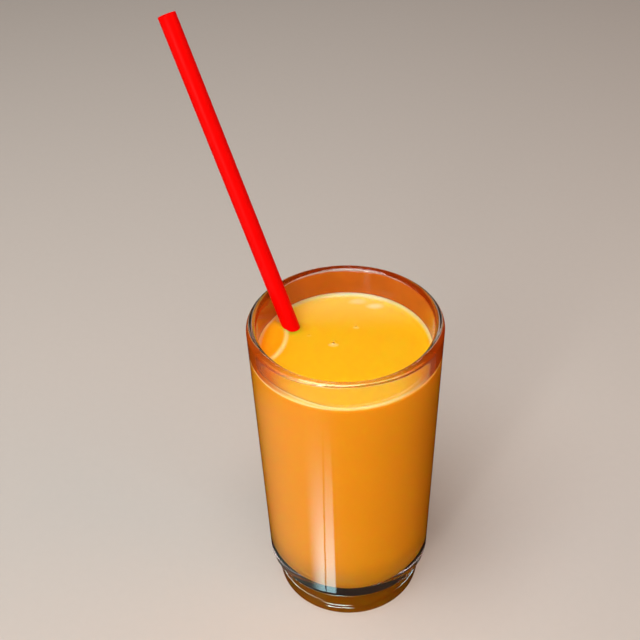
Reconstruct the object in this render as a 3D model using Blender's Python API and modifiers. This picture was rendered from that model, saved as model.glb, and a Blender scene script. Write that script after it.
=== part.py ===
"""Mango lassi in a footed tumbler with a drinking straw, in metres, +Z up.

The origin is the centre of the flat underside of the foot.
"""
import math

import bmesh
import bpy

# Glass
HEIGHT = 0.1217
RIM_RADIUS = 0.0335
LIP_WALL = 0.0034
BASE_WALL = 0.0039
SHOULDER_RADIUS = 0.0305
SHOULDER_EDGE = 0.0020
LEDGE_HEIGHT = 0.0136
NECK_RADIUS = 0.0264
NECK_FILLET = 0.0010
FOOT_RADIUS = 0.0278
FOOT_HEIGHT = 0.0112
FOOT_BULGE = 0.0008
FOOT_EDGE = 0.0012
CAVITY_FLOOR = 0.0075
CAVITY_CORNER = 0.0240

# Drink
LEVEL = 0.1101
MENISCUS_RISE = 0.0011
MENISCUS_WIDTH = 0.0028

# Straw: lean from upright, heading of the lean from +X, and where its axis meets the drink's surface
STRAW_RADIUS = 0.0030
STRAW_WALL = 0.00025
STRAW_LENGTH = 0.216
STRAW_ABOVE_DRINK = 0.1133
STRAW_LEAN = math.radians(23.0)
STRAW_HEADING = math.radians(143.1)
STRAW_AT_LEVEL = (-0.0189, 0.0116)

# Shared by neighbouring pieces
GAP = 0.0003
ROUND_STEPS = 64
STRAW_STEPS = 32
MERGE = 0.00005


def arc(centre_x, centre_z, radius, start, end, count):
    """Points round a circle in the XZ plane; angles in degrees from +X towards +Z."""
    points = []
    for i in range(count + 1):
        angle = math.radians(start + (end - start) * i / count)
        points.append((centre_x + radius * math.cos(angle), centre_z + radius * math.sin(angle)))
    return points


def outer_radius(z):
    """Radius of the tumbler's straight, tapered outer wall at height z."""
    top = HEIGHT - LIP_WALL / 2
    bottom = LEDGE_HEIGHT + SHOULDER_EDGE
    return SHOULDER_RADIUS + (RIM_RADIUS - SHOULDER_RADIUS) * (z - bottom) / (top - bottom)


def inner_radius(z):
    """Radius of the cavity's straight wall at height z."""
    top = HEIGHT - LIP_WALL / 2
    bottom = CAVITY_FLOOR + CAVITY_CORNER
    share = (z - bottom) / (top - bottom)
    wall = BASE_WALL + (LIP_WALL - BASE_WALL) * share
    return outer_radius(z) - wall


def cavity_profile(inset):
    """The cavity's floor and rounded corner, from the axis outwards, drawn in by inset."""
    corner_x = inner_radius(CAVITY_FLOOR + CAVITY_CORNER) - CAVITY_CORNER
    corner_z = CAVITY_FLOOR + CAVITY_CORNER
    return [(0, CAVITY_FLOOR + inset)] + arc(corner_x, corner_z, CAVITY_CORNER - inset, -90, 0, 14)


def foot_side():
    """The foot's side from its top edge to its underside, bulging a little at mid-height."""
    upper = FOOT_HEIGHT - FOOT_EDGE
    points = arc(FOOT_RADIUS - FOOT_BULGE - FOOT_EDGE, upper, FOOT_EDGE, 90, 20, 4)
    middle = (upper + FOOT_EDGE) / 2
    for i in range(1, 6):
        t = -1 + i / 3
        points.append((FOOT_RADIUS - FOOT_BULGE * t * t, middle - t * (upper - FOOT_EDGE) / 2))
    points += arc(FOOT_RADIUS - FOOT_BULGE - FOOT_EDGE, FOOT_EDGE, FOOT_EDGE, -20, -90, 4)
    return points


def glass_profile():
    """Half section of the tumbler: cavity floor, up the inside, over the lip and down the outside."""
    lip_z = HEIGHT - LIP_WALL / 2
    lip_x = RIM_RADIUS - LIP_WALL / 2
    edge_x = SHOULDER_RADIUS - SHOULDER_EDGE
    edge_z = LEDGE_HEIGHT + SHOULDER_EDGE
    neck_top = LEDGE_HEIGHT - NECK_FILLET
    neck_bottom = FOOT_HEIGHT + NECK_FILLET
    points = cavity_profile(0)
    points += arc(lip_x, lip_z, LIP_WALL / 2, 180, 0, 10)
    points += arc(edge_x, edge_z, SHOULDER_EDGE, 0, -90, 6)
    points += arc(NECK_RADIUS + NECK_FILLET, neck_top, NECK_FILLET, 90, 180, 3)
    points += arc(NECK_RADIUS + NECK_FILLET, neck_bottom, NECK_FILLET, 180, 270, 3)[1:]
    points += foot_side()
    points.append((0, 0))
    return points


def drink_profile():
    """Half section of the drink: level top with a raised edge, the wall and the rounded bottom."""
    edge = inner_radius(LEVEL) - GAP
    points = [(0, LEVEL)]
    for i in range(5):
        t = i / 4
        points.append((edge - MENISCUS_WIDTH * (1 - t), LEVEL + MENISCUS_RISE * t * t))
    points += reversed(cavity_profile(GAP))
    return points


def tube_profile(radius, bore, top, bottom):
    """Section of a tube's wall: the top rim, down the outer side, the bottom rim and up the bore."""
    return [(bore, top), (radius, top), (radius, bottom), (bore, bottom), (bore, top)]


def make_turned(name, profile, steps, collection):
    """A solid of revolution about the object's own Z axis."""
    mesh = bpy.data.meshes.new(name)
    edges = [(i, i + 1) for i in range(len(profile) - 1)]
    mesh.from_pydata([(x, 0, z) for x, z in profile], edges, [])
    work = bmesh.new()
    work.from_mesh(mesh)
    bmesh.ops.remove_doubles(work, verts=work.verts, dist=MERGE)
    work.to_mesh(mesh)
    work.free()
    turned = bpy.data.objects.new(name, mesh)
    collection.objects.link(turned)
    screw = turned.modifiers.new("Turn", 'SCREW')
    screw.axis = 'Z'
    screw.angle = math.tau
    screw.steps = steps
    screw.render_steps = steps
    screw.use_merge_vertices = True
    screw.merge_threshold = MERGE
    screw.use_smooth_shade = True
    return turned


def make_material(name, color, roughness, transmission=0.0):
    material = bpy.data.materials.new(name)
    material.use_nodes = True
    shader = material.node_tree.nodes["Principled BSDF"]
    shader.inputs["Base Color"].default_value = (*color, 1)
    shader.inputs["Roughness"].default_value = roughness
    shader.inputs["Metallic"].default_value = 0.0
    shader.inputs["Transmission Weight"].default_value = transmission
    material.diffuse_color = (*color, 1)
    return material


def place_on_straw_line(piece):
    """Stand a piece on the point where the straw meets the surface, leaning as the straw does."""
    piece.location = (*STRAW_AT_LEVEL, LEVEL)
    piece.rotation_euler = (0, STRAW_LEAN, STRAW_HEADING)


def make_glass(collection):
    glass = make_turned("glass", glass_profile(), ROUND_STEPS, collection)
    glass.data.materials.append(make_material("clear_glass", (0.92, 0.95, 0.94), 0.02, 1.0))
    return glass


def make_straw(collection):
    bottom = STRAW_ABOVE_DRINK - STRAW_LENGTH
    profile = tube_profile(STRAW_RADIUS, STRAW_RADIUS - STRAW_WALL, STRAW_ABOVE_DRINK, bottom)
    straw = make_turned("straw", profile, STRAW_STEPS, collection)
    place_on_straw_line(straw)
    straw.data.materials.append(make_material("red_plastic", (0.85, 0.01, 0.01), 0.3))
    return straw


def make_drink(collection, cutters):
    """The drink fills the cavity and the straw's bore, and stays clear of the straw's wall."""
    drink = make_turned("lassi", drink_profile(), ROUND_STEPS, collection)
    drink.data.materials.append(make_material("mango_lassi", (0.90, 0.46, 0.04), 0.35))

    bore = STRAW_RADIUS - STRAW_WALL - GAP
    bottom = STRAW_ABOVE_DRINK - STRAW_LENGTH - GAP
    profile = tube_profile(STRAW_RADIUS + GAP, bore, STRAW_ABOVE_DRINK, bottom)
    cutter = make_turned("straw_space", profile, STRAW_STEPS, cutters)
    place_on_straw_line(cutter)
    cutter.hide_render = True
    cutter.display_type = 'WIRE'

    cut = drink.modifiers.new("Straw space", 'BOOLEAN')
    cut.operation = 'DIFFERENCE'
    cut.object = cutter
    return drink


def main():
    for old in list(bpy.data.objects):
        bpy.data.objects.remove(old, do_unlink=True)
    parts = bpy.data.collections.new("mango_lassi")
    cutters = bpy.data.collections.new("cutters")
    bpy.context.scene.collection.children.link(parts)
    bpy.context.scene.collection.children.link(cutters)
    make_glass(parts)
    make_drink(parts, cutters)
    make_straw(parts)


main()
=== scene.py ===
import math

import bmesh
import bpy
from mathutils import Matrix, Vector, noise


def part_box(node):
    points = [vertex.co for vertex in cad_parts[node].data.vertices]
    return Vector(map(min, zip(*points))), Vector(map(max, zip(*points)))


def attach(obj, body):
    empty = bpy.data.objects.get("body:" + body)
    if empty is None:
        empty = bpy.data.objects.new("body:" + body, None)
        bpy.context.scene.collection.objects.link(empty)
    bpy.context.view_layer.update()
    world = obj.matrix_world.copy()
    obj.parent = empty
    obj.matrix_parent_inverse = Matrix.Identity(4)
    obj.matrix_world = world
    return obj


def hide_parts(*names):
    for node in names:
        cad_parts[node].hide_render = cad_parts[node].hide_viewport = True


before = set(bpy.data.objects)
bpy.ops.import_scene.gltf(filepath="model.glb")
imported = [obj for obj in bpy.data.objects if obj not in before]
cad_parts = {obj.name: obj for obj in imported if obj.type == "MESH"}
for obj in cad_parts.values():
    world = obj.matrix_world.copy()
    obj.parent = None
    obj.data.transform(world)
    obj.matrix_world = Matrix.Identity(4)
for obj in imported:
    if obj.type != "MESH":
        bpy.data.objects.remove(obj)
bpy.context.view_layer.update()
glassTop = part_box("glass")[1]
print("frame loaded:", ", ".join(sorted(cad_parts)))


# shader maths on sockets, so that a pattern reads as ordinary arithmetic
class Val:
    def __init__(self, tree, socket):
        self.tree = tree
        self.socket = socket

    def maths(self, operation, *terms):
        node = self.tree.nodes.new("ShaderNodeMath")
        node.operation = operation
        for slot, term in zip(node.inputs, terms):
            plug(self.tree, slot, term)
        return Val(self.tree, node.outputs[0])

    def size(self):
        return self.maths("ABSOLUTE", self)

    def __add__(self, other):
        return self.maths("ADD", self, other)

    def __radd__(self, other):
        return self.maths("ADD", other, self)

    def __sub__(self, other):
        return self.maths("SUBTRACT", self, other)

    def __rsub__(self, other):
        return self.maths("SUBTRACT", other, self)

    def __mul__(self, other):
        return self.maths("MULTIPLY", self, other)

    def __rmul__(self, other):
        return self.maths("MULTIPLY", other, self)

    def __truediv__(self, other):
        return self.maths("DIVIDE", self, other)

    def __pow__(self, other):
        return self.maths("POWER", self, other)


def plug(tree, slot, term):
    if isinstance(term, Val):
        tree.links.new(term.socket, slot)
    elif isinstance(term, bpy.types.NodeSocket):
        tree.links.new(term, slot)
    else:
        slot.default_value = term


def apart(x, y, centreX, centreY, stretch=1.0):
    # distance in plan from a centre, with the square of its Y part counted stretch times
    return ((x - centreX) ** 2 + (y - centreY) ** 2 * stretch) ** 0.5


class Nodes:
    # a short way to add nodes to a tree
    def __init__(self, tree):
        self.tree = tree

    def node(self, kind, settings=None, **values):
        made = self.tree.nodes.new("ShaderNode" + kind)
        for key, value in (settings or {}).items():
            setattr(made, key, value)
        for key, value in values.items():
            plug(self.tree, made.inputs[key.replace("_", " ")], value)
        return made

    def out(self, node, name):
        return Val(self.tree, node.outputs[name])

    def objectPlace(self):
        return self.node("TexCoord").outputs["Object"]

    def axes(self, place):
        split = self.node("SeparateXYZ", Vector=place)
        return [self.out(split, axis) for axis in "XYZ"]

    def noise(self, place, scale, detail=3.0, roughness=0.5):
        made = self.node("TexNoise", Vector=place, Scale=scale, Detail=detail, Roughness=roughness)
        return self.out(made, "Fac")

    def fade(self, value, low, high, start=0.0, end=1.0):
        # smooth change from start at low to end at high
        made = self.node("MapRange", {"interpolation_type": "SMOOTHSTEP"}, Value=value)
        made.inputs["From Min"].default_value = low
        made.inputs["From Max"].default_value = high
        made.inputs["To Min"].default_value = start
        made.inputs["To Max"].default_value = end
        return self.out(made, "Result")

    def mixColour(self, share, first, second):
        made = self.node("Mix", {"data_type": "RGBA"})
        plug(self.tree, made.inputs["Factor"], share)
        for slot, colour in ((made.inputs[6], first), (made.inputs[7], second)):
            plug(self.tree, slot, (*colour, 1) if isinstance(colour, tuple) else colour)
        return made.outputs[2]

    def mixShader(self, share, first, second):
        # without a first or second shader, that side stays black
        made = self.node("MixShader", Fac=share)
        for slot, shader in ((made.inputs[1], first), (made.inputs[2], second)):
            if shader is not None:
                plug(self.tree, slot, shader.outputs[0])
        return made


class Finish(Nodes):
    # one material
    def __init__(self, name, viewColour):
        self.material = bpy.data.materials.new(name)
        self.material.use_nodes = True
        self.material.diffuse_color = (*viewColour, 1)
        super().__init__(self.material.node_tree)
        self.shader = self.tree.nodes["Principled BSDF"]
        self.output = self.tree.nodes["Material Output"]

    def bump(self, height, distance, strength=1.0):
        made = self.node("Bump", Height=height, Distance=distance, Strength=strength)
        plug(self.tree, self.shader.inputs["Normal"], made.outputs["Normal"])

    def set(self, **values):
        for key, value in values.items():
            plug(self.tree, self.shader.inputs[key.replace("_", " ")], value)

    def surface(self, shader):
        plug(self.tree, self.output.inputs["Surface"], shader.outputs[0])


# outlines, turning and finishing
def addOutline(bm, corners):
    # a wire outline in the XZ plane; each corner is x, z and, where it is rounded, radius and segments
    verts = [bm.verts.new((corner[0], 0, corner[1])) for corner in corners]
    for first, second in zip(verts, verts[1:]):
        bm.edges.new((first, second))
    places = [vert.co.copy() for vert in verts]
    for i, corner in enumerate(corners):
        if len(corner) > 2:
            radius, segments = corner[2:]
            turn = (places[i] - places[i - 1]).angle(places[i + 1] - places[i])
            bmesh.ops.bevel(bm, geom=[verts[i]], offset=radius * math.tan(turn / 2), offset_type="OFFSET",
                            segments=segments, profile=0.5, affect="VERTICES", material=-1,
                            clamp_overlap=False)


def divideLong(bm, longest):
    for edge in list(bm.edges):
        cuts = int(edge.calc_length() / longest)
        if cuts:
            bmesh.ops.subdivide_edges(bm, edges=[edge], cuts=cuts)


def turnOutline(bm, steps, mergeDistance=1e-6):
    bmesh.ops.spin(bm, geom=bm.verts[:] + bm.edges[:], cent=(0, 0, 0), axis=(0, 0, 1), dvec=(0, 0, 0),
                   angle=math.tau, steps=steps, use_merge=True, use_duplicate=False)
    bmesh.ops.remove_doubles(bm, verts=bm.verts, dist=mergeDistance)
    bmesh.ops.recalc_face_normals(bm, faces=bm.faces)


def makeObject(name, bm, finish=None):
    mesh = bpy.data.meshes.new(name)
    bm.to_mesh(mesh)
    bm.free()
    if finish:
        mesh.materials.append(finish.material)
    made = bpy.data.objects.new(name, mesh)
    bpy.context.scene.collection.objects.link(made)
    return made


def makePiece(name, bm, finish, replaced=()):
    piece = makeObject(name, bm, finish)
    piece.data.shade_smooth()
    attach(piece, "root")
    if replaced:
        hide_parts(*replaced)
    print(name, "made:", len(piece.data.polygons), "faces")
    return piece


# tumbler
tumbler = {
    "rimRadius": glassTop.x,
    "height": glassTop.z,
    "lipWall": 0.0034,
    "lipRounding": 0.498,  # of the lip's wall, a little under half so that its two roundings don't meet
    "shoulderRadius": 0.0305,
    "shoulderEdge": 0.0020,
    "ledgeHeight": 0.0136,
    "neckRadius": 0.0264,
    "neckFillet": 0.0010,
    "footRadius": 0.0278,
    "footHeight": 0.0112,
    "footBulge": 0.0008,
    "footBulgeRadius": 0.012,
    "footEdge": 0.0012,
    "floorRadius": 0.0262,
    "cavityFloor": 0.0075,
    "cavityCorner": 0.0240,
    "cornerSegments": 24,
    "steps": 192,
    "longestStep": 0.0016,
    "colours": ((0.985, 0.99, 0.985), (0.965, 0.975, 0.97)),
    "baseShade": (0.66, 0.56, 0.55),  # painted shade: the thick base is coloured darker than the clear glass above it
    "baseShadeTop": 0.018,
    "shadowColour": (0.97, 0.965, 0.95),
    "polish": 0.004,
    "smearRoughness": 0.03,
    "smearScale": 140,
    "rippleScale": 60,
    "rippleDepth": 0.00012,
}


def tumblerCorners(t):
    bulgeZ = t["footHeight"] / 2
    footSide = t["footRadius"] - t["footBulge"]
    lipRadius = t["lipWall"] * t["lipRounding"]
    return [
        (0, t["cavityFloor"]),
        (t["floorRadius"], t["cavityFloor"], t["cavityCorner"], t["cornerSegments"]),
        (t["rimRadius"] - t["lipWall"], t["height"], lipRadius, 10),
        (t["rimRadius"], t["height"], lipRadius, 10),
        (t["shoulderRadius"], t["ledgeHeight"], t["shoulderEdge"], 10),
        (t["neckRadius"], t["ledgeHeight"], t["neckFillet"], 5),
        (t["neckRadius"], t["footHeight"], t["neckFillet"], 5),
        (footSide, t["footHeight"], t["footEdge"], 8),
        (t["footRadius"], bulgeZ, t["footBulgeRadius"], 6),
        (footSide, 0, t["footEdge"], 8),
        (0, 0),
    ]


def glassFinish():
    t = tumbler
    f = Finish("clearGlass", (0.9, 0.95, 0.95))
    place = f.objectPlace()
    ripple = f.noise(place, t["rippleScale"], detail=1.0)  # pressed glass is never quite flat
    smear = f.noise(place, t["smearScale"], detail=4.0, roughness=0.6)
    # painted shade: the glass is coloured darker from here down into the base
    shadedBase = f.fade(f.axes(place)[2], t["baseShadeTop"], t["ledgeHeight"])
    f.set(Base_Color=f.mixColour(shadedBase, f.mixColour(smear, *t["colours"]), t["baseShade"]),
          Roughness=t["polish"] + smear ** 3 * t["smearRoughness"],
          IOR=1.51, Transmission_Weight=1.0, Specular_IOR_Level=0.5)
    f.bump(ripple, t["rippleDepth"], 0.35)
    lampsThrough = f.node("BsdfTransparent", Color=(*t["shadowColour"], 1))
    isShadow = f.node("LightPath").outputs["Is Shadow Ray"]
    f.surface(f.mixShader(isShadow, f.shader, lampsThrough))
    return f


def makeTumbler():
    bm = bmesh.new()
    addOutline(bm, tumblerCorners(tumbler))
    divideLong(bm, tumbler["longestStep"])
    turnOutline(bm, tumbler["steps"])
    return makePiece("tumbler", bm, glassFinish(), ["glass"])


# straw
straw = {
    "radius": 0.0030,
    "wall": 0.00025,
    "length": 0.216,
    "aboveDrink": 0.1133,
    "lean": math.radians(23.0),
    "heading": math.radians(143.1),
    "entry": (-0.0189, 0.0116, 0.1101),
    "steps": 64,
    "longestStep": 0.006,
    "cutEdge": 0.00006,
    "colours": ((0.88, 0.0006, 0.0006), (0.94, 0.0012, 0.0008)),
    "roughness": (0.30, 0.38),
    "cloudScale": 220,
    "grainScale": 500,
    "grainDepth": 0.00002,
}
strawPlace = (Matrix.Translation(straw["entry"]) @ Matrix.Rotation(straw["heading"], 4, "Z")
              @ Matrix.Rotation(straw["lean"], 4, "Y"))


def addStrawTube(bm, outer, bore, edge=0.0):
    # the section starts and ends half-way down the bore, so that every corner can be rounded
    top = straw["aboveDrink"]
    bottom = top - straw["length"]
    middle = (top + bottom) / 2
    rounding = (edge, 3) if edge else ()
    addOutline(bm, [(bore, middle), (bore, top, *rounding), (outer, top, *rounding),
                    (outer, bottom, *rounding), (bore, bottom, *rounding), (bore, middle)])


def strawFinish():
    f = Finish("redPlastic", (0.9, 0.02, 0.02))
    place = f.objectPlace()
    cloud = f.noise(place, straw["cloudScale"], detail=2.0)
    f.set(Base_Color=f.mixColour(cloud, *straw["colours"]),
          Roughness=f.fade(cloud, 0.3, 0.7, *straw["roughness"]), Specular_IOR_Level=0.05,
          Subsurface_Weight=0.15, Subsurface_Radius=(1.0, 0.1, 0.1), Subsurface_Scale=0.0006)
    f.bump(f.noise(place, straw["grainScale"], detail=2.0), straw["grainDepth"], 0.3)
    return f


def makeStraw():
    bm = bmesh.new()
    addStrawTube(bm, straw["radius"], straw["radius"] - straw["wall"], straw["cutEdge"])
    divideLong(bm, straw["longestStep"])
    turnOutline(bm, straw["steps"])
    bmesh.ops.transform(bm, matrix=strawPlace, verts=bm.verts)
    return makePiece("drinkingStraw", bm, strawFinish(), ["straw"])


# lassi
lassi = {
    "level": 0.1101,
    "intoGlass": 0.0001,
    "meniscusWidth": 0.0030,
    "meniscusCurve": 2.2,
    "meniscusRise": 0.0009,
    "backRise": 0.0005,  # more of it at the back and less at the front
    "leftRise": 0.0017,  # the straw leads the drink up the wall on this side
    "leftDirection": (math.cos(math.radians(-150)), math.sin(math.radians(-150))),
    "leftSpread": (0.50, 0.966),
    "ringSpacing": 0.00028,
    "steps": 256,
    "ripple": 0.00003,
    "rippleScale": 70,
    "seed": 5,
    "collarHeight": 0.0006,
    "collarWidth": 0.0009,
    "collarLeft": (-0.002, 0.004),  # from here to here on the straw's left the collar grows higher
    "bodyColours": ((0.82, 0.345, 0.006), (0.85, 0.367, 0.009)),
    # painted light: the top is coloured lighter and yellower than the body, as if lit from above
    "litTopColours": ((0.97, 0.48, 0.006), (0.98, 0.51, 0.010)),
    "palerColour": (1.0, 0.72, 0.26),
    # painted highlight on the swells
    "highlightColour": (1.0, 0.82, 0.50),
    # painted shade in the middle of each dent
    "dentShadeColour": (0.22, 0.02, 0.002),
    "paleAtBack": (0.008, 0.028, 0.0, 0.3),  # from y to y, from share to share
    # painted light: the drink is paler at the wall
    "edgeLightColour": (1.0, 0.68, 0.30),
    "edgeReach": (0.0284, 0.0295),
    "edgeShare": 0.85,
    "lineLightColour": (0.98, 0.62, 0.26),  # painted light on the edge, seen through the wall
    "lineReach": (-0.0009, -0.0003),
    "lineShare": 0.8,
    "topReach": (-0.0006, -0.0002),  # from the level
    "topWall": 0.00004,  # what lies this close to the wall is side, not top
    "cloudScale": 45,
    "speckScale": 900,
    "speckDepth": 0.00002,
    "roughness": 0.42,
    "speckRoughness": 0.1,
}
# the swollen part between the straw and the wall, bounded by a curve with a ridge that is painted pale as a
# highlight; inside it lies a painted reflection of the orange wall
swollen = {
    "centre": (-0.0400, 0.0069),
    "radius": 0.0196,
    "rise": 0.0013,
    "slope": (-0.0008, 0.0040),
    "ridge": 0.00025,
    "ridgeWidth": 0.0006,
    "ridgeEnd": (0.0125, 0.0095),
    # painted reflection of the orange wall, inside the swollen part
    "colour": (0.95, 0.385, 0.003),
    "reflectionReach": 0.0018,
    "reflectionShare": 0.8,
    # where the painted highlight along the ridge lies
    "arcOuter": (-0.0011, -0.0001),
    "arcInner": (0.0013, 0.0001),
    "arcFaint": (0.0125, 0.0015, 0.5, 1.0),
    "arcBack": (0.0115, 0.0100),
    "arcFront": (-0.0070, -0.0048),
}
# painted light and shade beside the straw, a highlight on its left and its shadow on its right: x and y from
# its axis, radius where it ends and where it is full, share, colour
strawLightAndShade = [
    # painted highlight on the hump of drink left of the straw
    (-0.0036, 0.0040, 0.0030, 0.0012, 0.6, lassi["palerColour"]),
    # painted shadow of the straw, right of it
    (0.0042, 0.0, 0.0036, 0.0010, 0.7, (1.0, 0.36, 0.003)),
]
# dents left by bubbles: x, y, radius, depth
lassiDents = [
    (-0.0041, 0.0028, 0.00055, 0.00045),
    (0.0038, 0.0118, 0.0004, 0.0002),
    (-0.0126, 0.0075, 0.0003, 0.00012),
]
# low swells: x, y, radius, height
lassiSwells = [
    (0.0046, 0.0250, 0.0030, 0.00022),
    (0.0111, 0.0222, 0.0022, 0.00020),
]
# painted highlights lying on them, pale patches where light shines off the swells: x, y, radius, share
swellHighlights = [
    (0.0046, 0.0258, 0.0044, 0.40),
    (0.0108, 0.0230, 0.0042, 0.62),
]


def ease(value, low, high):
    share = min(1.0, max(0.0, (value - low) / (high - low)))
    return share * share * (3 - 2 * share)


def wallRadius(z):
    # the cavity's wall at height z, on the straight from its floor corner to the lip's inner corner
    share = (z - tumbler["cavityFloor"]) / (tumbler["height"] - tumbler["cavityFloor"])
    top = tumbler["rimRadius"] - tumbler["lipWall"]
    return tumbler["floorRadius"] + (top - tumbler["floorRadius"]) * share


def edgeRise(x, y):
    # how far the drink climbs the wall in this direction
    radius = max(1e-6, math.hypot(x, y))
    leftward = (x * lassi["leftDirection"][0] + y * lassi["leftDirection"][1]) / radius
    return (lassi["meniscusRise"] + lassi["backRise"] * y / radius
            + lassi["leftRise"] * ease(leftward, *lassi["leftSpread"]))


def swollenHeight(x, y):
    beyond = swollen["radius"] - math.hypot(x - swollen["centre"][0], y - swollen["centre"][1])
    ridge = swollen["ridge"] * math.exp(-(beyond / swollen["ridgeWidth"]) ** 2)
    return swollen["rise"] * ease(beyond, *swollen["slope"]) + ridge * ease(y, *swollen["ridgeEnd"])


def spotHeight(x, y):
    # dents, each with a low raised ring round it, and swells
    height = 0.0
    for dentX, dentY, size, depth in lassiDents:
        away = math.hypot(x - dentX, y - dentY) / size
        height += depth * (0.6 * math.exp(-((away - 1.5) / 0.5) ** 2) - math.exp(-away * away))
    for swellX, swellY, size, rise in lassiSwells:
        away = math.hypot(x - swellX, y - swellY) / size
        height += rise * math.exp(-away * away)
    return height


def lassiHeight(x, y):
    # height of the drink's surface over its level at a point
    fromWall = wallRadius(lassi["level"]) - math.hypot(x, y)
    climb = max(0.0, 1 - fromWall / lassi["meniscusWidth"]) ** lassi["meniscusCurve"]
    height = swollenHeight(x, y) + spotHeight(x, y)
    wavePlace = Vector((x, y, lassi["seed"])) * lassi["rippleScale"]
    height += lassi["ripple"] * noise.fractal(wavePlace, 1.0, 2.0, 2)
    height += (edgeRise(x, y) - height) * climb
    across = strawPlace.inverted() @ Vector((x, y, lassi["level"] + height))
    gap = max(0.0, math.hypot(across.x, across.y) - straw["radius"])
    collar = lassi["collarHeight"] * (0.5 + ease(straw["entry"][0] - x, *lassi["collarLeft"]))
    return height + collar * math.exp(-gap / lassi["collarWidth"])


def lassiSurface(f, x, y, cloud):
    # the colour of the drink's top: painted lighter and yellower than the body as light from above, with
    # painted highlights, shade and reflection on it
    paler = lassi["palerColour"]
    colour = f.mixColour(cloud, *lassi["litTopColours"])
    beyond = swollen["radius"] - apart(x, y, *swollen["centre"])
    # painted reflection of the orange wall on the swollen part
    wallReflection = f.fade(beyond, 0.0, swollen["reflectionReach"]) * swollen["reflectionShare"]
    colour = f.mixColour(wallReflection, colour, swollen["colour"])
    # painted highlight: a pale line along the curved ridge
    ridgeHighlight = f.fade(beyond, *swollen["arcOuter"]) * f.fade(beyond, *swollen["arcInner"])
    for stretch in ("arcFaint", "arcBack", "arcFront"):
        ridgeHighlight = ridgeHighlight * f.fade(y, *swollen[stretch])
    colour = f.mixColour(ridgeHighlight, colour, paler)
    # painted highlight and painted shadow beside the straw
    for besideX, besideY, ends, full, share, tint in strawLightAndShade:
        away = apart(x, y, straw["entry"][0] + besideX, straw["entry"][1] + besideY)
        colour = f.mixColour(f.fade(away, ends, full, 0.0, share), colour, tint)
    for dentX, dentY, size, depth in lassiDents:
        # painted highlight where light is caught before the dent, and painted shade in its dark middle
        before = apart(x, y, dentX, dentY - size * 2.4, 3.0)
        colour = f.mixColour(f.fade(before, size * 4.0, size * 1.5, 0.0, depth * 1500), colour, paler)
        middle = f.fade(apart(x, y, dentX, dentY), size * 1.1, size * 0.4, 0.0, depth * 2000)
        colour = f.mixColour(middle, colour, lassi["dentShadeColour"])
    colour = f.mixColour(f.fade(y, *lassi["paleAtBack"]), colour, paler)
    # painted highlights on the swells
    for highlightX, highlightY, size, share in swellHighlights:
        away = apart(x, y, highlightX, highlightY, 3.5) + (cloud - 0.5) * 0.001
        colour = f.mixColour(f.fade(away, size, size * 0.25, 0.0, share), colour, lassi["highlightColour"])
    return colour


def lassiFinish():
    f = Finish("mangoLassi", (0.95, 0.6, 0.1))
    place = f.objectPlace()
    x, y, z = f.axes(place)
    radius = (x * x + y * y) ** 0.5
    cloud = f.noise(place, lassi["cloudScale"], detail=4.0, roughness=0.55)
    speck = f.noise(place, lassi["speckScale"], detail=2.0)
    wall = wallRadius(lassi["level"]) + lassi["intoGlass"]
    isTop = (f.fade(z - lassi["level"], *lassi["topReach"])
             * f.fade(radius, wall, wall - lassi["topWall"]))
    body = f.mixColour(cloud, *lassi["bodyColours"])
    colour = f.mixColour(isTop, body, lassiSurface(f, x, y, cloud))

    # painted light: where the drink meets the wall it is painted paler, for the light its thin edge lets
    # through, seen from above and through the wall
    leftward = (x * lassi["leftDirection"][0] + y * lassi["leftDirection"][1]) / radius
    rim = (lassi["level"] + lassi["meniscusRise"] + y / radius * lassi["backRise"]
           + f.fade(leftward, *lassi["leftSpread"]) * lassi["leftRise"])
    edge = f.fade(radius + (cloud - 0.5) * 0.0008, *lassi["edgeReach"]) * isTop
    line = f.fade(z - rim, *lassi["lineReach"]) * (1 - isTop)
    colour = f.mixColour(edge * lassi["edgeShare"], colour, lassi["edgeLightColour"])
    colour = f.mixColour(line * lassi["lineShare"], colour, lassi["lineLightColour"])
    f.set(Base_Color=colour, Roughness=lassi["roughness"] + speck * lassi["speckRoughness"],
          Specular_IOR_Level=0.12, Coat_Weight=isTop, Coat_Roughness=0.08, Coat_IOR=1.36,
          Subsurface_Weight=0.85, Subsurface_Radius=(1.0, 0.36, 0.08), Subsurface_Scale=0.0065)
    f.bump(speck, lassi["speckDepth"], 0.25)
    return f


def makeLassi():
    edge = wallRadius(lassi["level"]) + lassi["intoGlass"]
    bottom = tumbler["cavityFloor"] - lassi["intoGlass"]
    corner = tumbler["cavityCorner"] + lassi["intoGlass"]
    bm = bmesh.new()
    addOutline(bm, [(0, bottom),
                    (tumbler["floorRadius"] + lassi["intoGlass"], bottom, corner, tumbler["cornerSegments"]),
                    (edge, lassi["level"])])
    divideLong(bm, tumbler["longestStep"])
    inner = bmesh.new()
    addOutline(inner, [(0, lassi["level"]), (edge, lassi["level"])])
    divideLong(inner, lassi["ringSpacing"])
    disc = bpy.data.meshes.new("disc")
    inner.to_mesh(disc)
    inner.free()
    bm.from_mesh(disc)
    bpy.data.meshes.remove(disc)
    turnOutline(bm, lassi["steps"])
    for vert in bm.verts:
        if vert.co.z > lassi["level"] - 1e-6:
            vert.co.z += lassiHeight(vert.co.x, vert.co.y)
    piece = makePiece("mangoLassi", bm, lassiFinish(), ["lassi"])
    cutRoundStraw(piece)
    return piece


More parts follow.
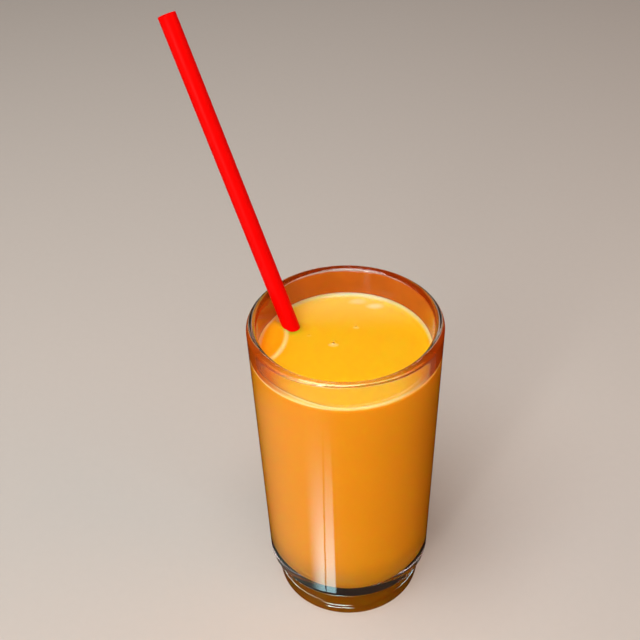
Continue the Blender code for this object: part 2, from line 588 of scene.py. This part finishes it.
def cutRoundStraw(piece):
    bite = lassi["intoGlass"] / 2  # the drink reaches this far into the straw's wall from either side
    bm = bmesh.new()
    addStrawTube(bm, straw["radius"] - bite, straw["radius"] - straw["wall"] + bite)
    turnOutline(bm, straw["steps"])
    bmesh.ops.transform(bm, matrix=strawPlace, verts=bm.verts)
    cutter = makeObject("strawSpace", bm)
    cut = piece.modifiers.new("Straw space", "BOOLEAN")
    cut.operation = "DIFFERENCE"
    cut.solver = "MANIFOLD"  # the drink's mesh is too dense for the exact one
    cut.object = cutter
    shape = bpy.context.evaluated_depsgraph_get()
    made = bpy.data.meshes.new_from_object(piece.evaluated_get(shape))
    piece.modifiers.clear()
    old = piece.data
    piece.data = made
    made.name = "mangoLassi"
    bpy.data.meshes.remove(old)
    bpy.data.objects.remove(cutter)


# film of lassi that clings to the glass over the level; at the sides and over the lip it is also painted
# reflection of the drink's orange in the glass
film = {
    "inset": -0.0001,  # it lies this far into the glass, so that no wall shows through between the two
    "top": 0.1215,
    "steps": 192,
    "longestStep": 0.001,
    "lipRounding": 0.999,
    "colours": ((0.84, 0.185, 0.004), (0.90, 0.225, 0.006)),
    "tint": (0.62, 0.10, 0.012),
    "cover": 0.22,
    "streakCover": 0.25,
    "streakScale": 120,
    "frontToBack": (-0.021, 0.008),  # thinnest at the front, where one drinks
    # painted reflection: the film thickens towards the sides, for the drink's orange that the glass carries
    # there
    "atSides": 0.3,
    "topFade": 0.0006,
}


def filmFinish():
    f = Finish("lassiFilm", (0.8, 0.4, 0.1))
    place = f.objectPlace()
    x, y, z = f.axes(place)
    streak = f.noise(place, film["streakScale"], detail=3.0)
    runs = f.fade(y + x.size() * film["atSides"] + streak * 0.006, *film["frontToBack"])
    runs = runs * f.fade(z + streak * 0.0008, film["top"] - film["topFade"], film["top"], 1.0, 0.0)
    f.set(Base_Color=f.mixColour(streak, *film["colours"]), Roughness=0.5, Specular_IOR_Level=0.1)
    clear = f.node("BsdfTransparent", Color=(1.0, 1.0, 1.0, 1))
    tinted = f.node("BsdfTransparent", Color=(*film["tint"], 1))
    through = f.mixShader(runs, clear, tinted)
    cover = runs * (film["cover"] + streak * film["streakCover"])
    f.surface(f.mixShader(cover, through, f.shader))
    return f


def makeFilm():
    low = lassi["level"] + (lassi["meniscusRise"] - lassi["backRise"]) / 2
    lipTop = tumbler["height"] + film["inset"]
    lipRound = tumbler["lipWall"] / 2 + film["inset"]
    inner = tumbler["rimRadius"] - tumbler["lipWall"] - film["inset"]
    bm = bmesh.new()
    addOutline(bm, [(wallRadius(low) - film["inset"], low),
                    # over the inner lip the film is painted reflection of the drink's orange in the glass
                    (inner, lipTop, lipRound * film["lipRounding"], 10),
                    (inner + lipRound, lipTop)])
    divideLong(bm, film["longestStep"])
    turnOutline(bm, film["steps"])
    bmesh.ops.bisect_plane(bm, geom=bm.verts[:] + bm.edges[:] + bm.faces[:],
                           plane_co=(0, 0, film["top"]), plane_no=(0, 0, 1), clear_outer=True)
    return makePiece("lassiFilm", bm, filmFinish())


# studio
studio = {
    "floorSize": 3.8,
    "floorDrop": 0.0002,  # thin air under the foot, so that its underside mirrors as a real one does
    "floorColours": ((0.61, 0.57, 0.52), (0.628, 0.587, 0.536)),
    "floorRoughness": 0.7,
    "grainScale": 300,
    "worldColour": (1.0, 0.88, 0.76),
    "worldStrength": 0.34,
    "worldDark": 0.02,
    "worldFade": (0.12, 0.42),  # the pale backdrop ends and the dark ceiling begins at these heights
    "aimHeight": tumbler["height"] * 0.6,
    "seenThroughGlass": ("keyLamp", "backLamp"),  # the others would show as squares in the foot
}
# name, azimuth from the camera towards its left, elevation, distance, width, height, watts, colour
lamps = [
    ("keyLamp", 31, 71, 1.1, 0.80, 0.80, 12.0, (0.97, 0.98, 1.0)),
    ("stripLamp", 29, 38, 1.3, 0.10, 0.45, 2.0, (1.0, 0.98, 0.96)),
    ("frontLamp", 20, 9, 0.9, 0.45, 0.30, 1.9, (1.0, 0.97, 0.94)),
    ("rightLamp", -74, 34, 1.4, 0.80, 0.80, 3.4, (1.0, 0.38, 0.12)),
    ("leftLamp", 84, 30, 1.4, 0.80, 0.80, 2.0, (1.0, 0.72, 0.48)),
    ("backLamp", 181, 33, 1.1, 0.10, 0.06, 0.12, (1.0, 0.98, 0.96)),
]
camera = {
    "focalPixels": 1100,
    "imageSize": 640,
    "sensor": 36.0,
    "distance": 0.3693,
    "elevation": math.radians(37.984),
    "pitch": math.radians(37.908),
    "roll": math.radians(-1.918),
    "yaw": math.radians(1.660),
}


def makeFloor():
    f = Finish("paleFloor", (0.7, 0.7, 0.68))
    grain = f.noise(f.objectPlace(), studio["grainScale"], detail=3.0)
    f.set(Base_Color=f.mixColour(grain, *studio["floorColours"]),
          Roughness=studio["floorRoughness"] + grain * 0.1, Specular_IOR_Level=0.0)
    bm = bmesh.new()
    bmesh.ops.create_circle(bm, cap_ends=True, radius=studio["floorSize"] / 2, segments=128)
    bmesh.ops.translate(bm, vec=(0, 0, -studio["floorDrop"]), verts=bm.verts)
    floor = makeObject("floor", bm, f)
    floor.visible_glossy = False  # a pale floor would veil the dark of the glass


def makeLamps():
    aim = Vector((0, 0, studio["aimHeight"]))
    for name, side, elevation, distance, width, height, power, colour in lamps:
        angle = math.radians(-90 - side)
        rise = math.radians(elevation)
        away = Vector((math.cos(angle) * math.cos(rise), math.sin(angle) * math.cos(rise), math.sin(rise)))
        light = bpy.data.lights.new(name, "AREA")
        light.shape = "RECTANGLE"
        light.size = width
        light.size_y = height
        light.energy = power
        light.color = colour
        lamp = bpy.data.objects.new(name, light)
        lamp.location = aim + away * distance
        lamp.rotation_euler = (-away).to_track_quat("-Z", "Y").to_euler()
        lamp.visible_transmission = name in studio["seenThroughGlass"]
        bpy.context.scene.collection.objects.link(lamp)


# glowing cards that lie round the glass and that only its reflections see: a wide one makes the soft
# double streak low on the wall, two thin ones the pair of arcs in the foot, and two the lines at the ledge
cards = {
    "streakCard": {
        "wall": 0.0305,  # its points go where the glass at each azimuth mirrors the camera's view to
        "taper": 0.036,
        "reach": (0.0100, 0.125),
        "sides": (2, 75),
        "rightEdge": (9.0, 10.0),
        "leftEdge": (28.5, 16.5),
        "slit": (17.0, -34.0, 0.7),  # azimuth, lean, half width
        "veil": ((1.0, 22.0), (75.0, 40.0), 0.28),  # a faint sheen round the streak: edges, glow
        "glow": 6.5,
        "fall": 2.2,
    },
    "arcCardUpper": {
        "wall": 0.0278,
        "taper": 0.0,
        "reach": (0.0040, 0.0047),
        "sides": (-3, 23),
        "rightEdge": (-3.0, 3.0),
        "leftEdge": (23.0, 17.0),
        "glow": 20.0,
    },
    "arcCardLower": {
        "wall": 0.0278,
        "taper": 0.0,
        "reach": (0.0014, 0.0019),
        "sides": (-5, 21),
        "rightEdge": (-5.0, 3.0),
        "leftEdge": (21.0, 17.0),
        "glow": 20.0,
    },
}
for cardName, sides in (("ledgeCardLeft", (20, 82)), ("ledgeCardRight", (-38, -80))):
    cards[cardName] = {
        "wall": 0.0300,
        "taper": 0.0,
        "reach": (0.0042, 0.0056),
        "sides": sides,
        "rightEdge": (sides[0], sides[0] * 1.4),
        "leftEdge": (sides[1], sides[1] * 0.85),
        "glow": 6.0,
    }
cardTurn = 2.19  # how much further than its azimuth the reflection at a point of the glass turns
cardHeight = 0.0003
cardColour = (0.52, 0.92, 1.0)  # white once the orange behind the glass adds to it
cardSpread = 100.0  # degrees for each unit of U


def cardFinish(name, c):
    f = Finish(name, (1, 1, 1))
    split = f.node("SeparateXYZ", Vector=f.node("UVMap", {"uv_map": "spread"}).outputs["UV"])
    side = f.out(split, "X") * cardSpread
    reach = f.out(split, "Y")
    farthest = c["reach"][1]
    pattern = f.fade(side, *c["rightEdge"]) * f.fade(side, *c["leftEdge"])
    if "slit" in c:
        place, lean, halfWidth = c["slit"]
        away = side - (reach * lean + place)
        pattern = pattern * f.fade(away.size(), halfWidth * 0.4, halfWidth)
    if "fall" in c:
        pattern = pattern * f.fade(reach, 0.0, farthest, 1.0, 0.0) ** c["fall"]
    if "veil" in c:
        right, left, strength = c["veil"]
        veil = f.fade(side, *right) * f.fade(side, *left) * f.fade(reach, farthest, farthest * 0.8)
        pattern = pattern + veil * (strength / c["glow"])
    glow = f.node("Emission", Color=(*cardColour, 1), Strength=c["glow"])
    f.surface(f.mixShader(pattern, None, glow))
    return f


def makeCard(name, c):
    right, left = c["sides"]
    near, far = c["reach"]
    bm = bmesh.new()
    layer = bm.loops.layers.uv.new("spread")
    bmesh.ops.create_grid(bm, x_segments=48, y_segments=24, size=0.5)
    for face in bm.faces:
        for loop in face.loops:
            side = right + (left - right) * (loop.vert.co.x + 0.5)
            loop[layer].uv = (side / cardSpread, near + (far - near) * (loop.vert.co.y + 0.5))
    for vert in bm.verts:
        side = math.radians(right + (left - right) * (vert.co.x + 0.5))
        reach = near + (far - near) * (vert.co.y + 0.5)
        wall = c["wall"] + c["taper"] * reach
        vert.co = (-wall * math.sin(side) - reach * math.sin(side * cardTurn),
                   -wall * math.cos(side) - reach * math.cos(side * cardTurn), cardHeight)
    bmesh.ops.recalc_face_normals(bm, faces=bm.faces)
    card = makeObject(name, bm, cardFinish(name, c))
    card.visible_camera = False
    card.visible_diffuse = False
    card.visible_transmission = False
    card.visible_shadow = False


def makeWorld():
    world = bpy.data.worlds.new("studio")
    world.use_nodes = True
    back = world.node_tree.nodes["Background"]
    back.inputs["Color"].default_value = (*studio["worldColour"], 1)
    sky = Nodes(world.node_tree)
    up = sky.axes(sky.node("TexCoord").outputs["Generated"])[2]
    glow = sky.fade(up, *studio["worldFade"], studio["worldStrength"], studio["worldDark"])
    plug(world.node_tree, back.inputs["Strength"], glow)
    world.cycles_visibility.glossy = False
    bpy.context.scene.world = world


def makeCamera():
    c = camera
    data = bpy.data.cameras.new("photoCamera")
    data.sensor_width = c["sensor"]
    data.lens = c["sensor"] * c["focalPixels"] / c["imageSize"]
    data.clip_start = 0.01
    place = Vector((0, -c["distance"] * math.cos(c["elevation"]),
                    c["distance"] * math.sin(c["elevation"]) + tumbler["height"]))
    ahead = Vector((-math.sin(c["yaw"]) * math.cos(c["pitch"]), math.cos(c["yaw"]) * math.cos(c["pitch"]),
                    -math.sin(c["pitch"])))
    right = ahead.cross(Vector((0, 0, 1))).normalized()
    up = right.cross(ahead)
    tiltedRight = math.cos(c["roll"]) * right + math.sin(c["roll"]) * up
    tiltedUp = math.cos(c["roll"]) * up - math.sin(c["roll"]) * right
    turn = Matrix((tiltedRight, tiltedUp, -ahead)).transposed().to_4x4()
    eye = bpy.data.objects.new("photoCamera", data)
    eye.matrix_world = Matrix.Translation(place) @ turn
    bpy.context.scene.collection.objects.link(eye)
    bpy.context.scene.camera = eye


makeCamera()
makeTumbler()
makeStraw()
makeLassi()
makeFilm()
makeFloor()
makeLamps()
for cardName, cardSettings in cards.items():
    makeCard(cardName, cardSettings)
makeWorld()
bpy.context.scene.view_settings.view_transform = "Standard"
print("studio ready")
